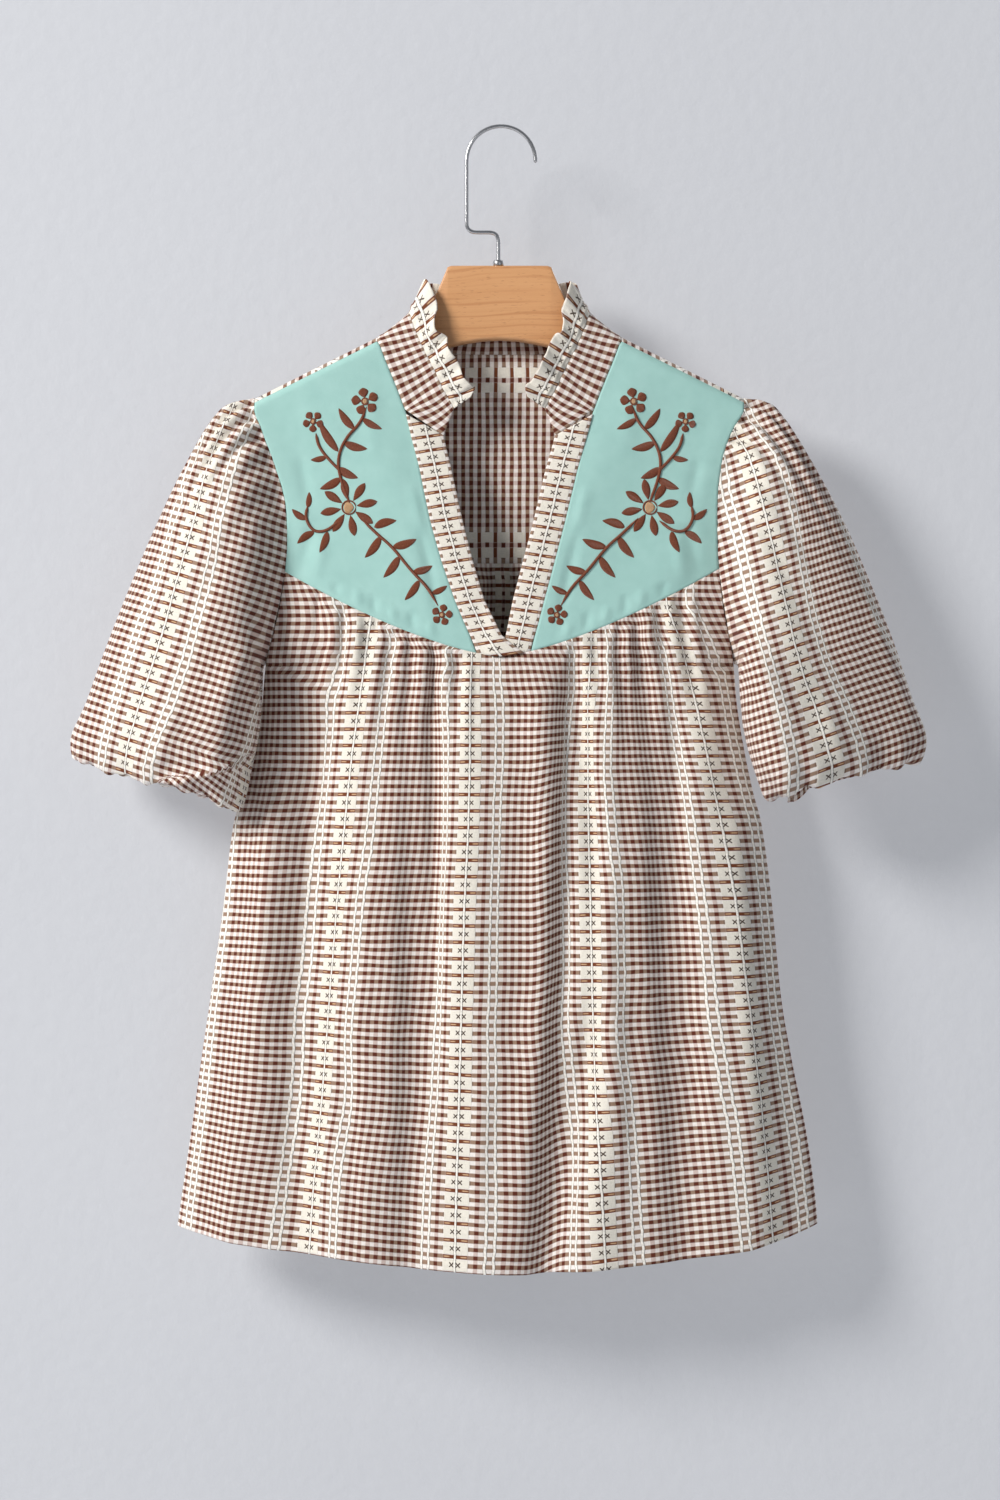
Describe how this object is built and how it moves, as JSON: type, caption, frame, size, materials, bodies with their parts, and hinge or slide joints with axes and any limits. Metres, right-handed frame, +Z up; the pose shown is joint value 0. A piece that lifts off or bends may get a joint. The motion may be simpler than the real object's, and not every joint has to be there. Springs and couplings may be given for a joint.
{
  "type": "puff sleeve blouse on a wooden hanger",
  "caption": "Short puff sleeve blouse with a frilled stand collar, open V neck, contrast yokes and gathered body, on a plain wooden hanger.",
  "frame": {"origin": "inner top of the hanger's hook, where it rests on a rail", "axes": "+X across to the right as seen from the front, -Y out of the front of the blouse, +Z up"},
  "size_m": [0.6455, 0.1016, 0.8624],
  "materials": {
    "check_front": "woven check",
    "check_back": "woven check",
    "check_yoke": "woven check",
    "check_collar": "woven check",
    "check_ruffle": "woven check",
    "check_band_left": "woven check",
    "check_band_right": "woven check",
    "check_sleeve_left": "woven check",
    "check_sleeve_right": "woven check",
    "check_cuff_left": "woven check",
    "check_cuff_right": "woven check",
    "mint_left": "smooth",
    "mint_right": "smooth",
    "beech": "satin lacquer",
    "wire_steel": "polished",
    "nut_steel": "polished"
  },
  "bodies": {
    "root": {"front_body": "check_front", "back_body": "check_back", "back_yoke": "check_yoke", "front_yoke_left": "mint_left", "front_yoke_right": "mint_right", "neck_band_left": "check_band_left", "neck_band_right": "check_band_right", "collar_stand": "check_collar", "collar_ruffle": "check_ruffle", "sleeve_left": "check_sleeve_left", "sleeve_right": "check_sleeve_right", "cuff_left": "check_cuff_left", "cuff_right": "check_cuff_right", "hanger_wood": "beech", "hanger_hook": "wire_steel", "hanger_nut": "nut_steel"}
  },
  "joints": []
}
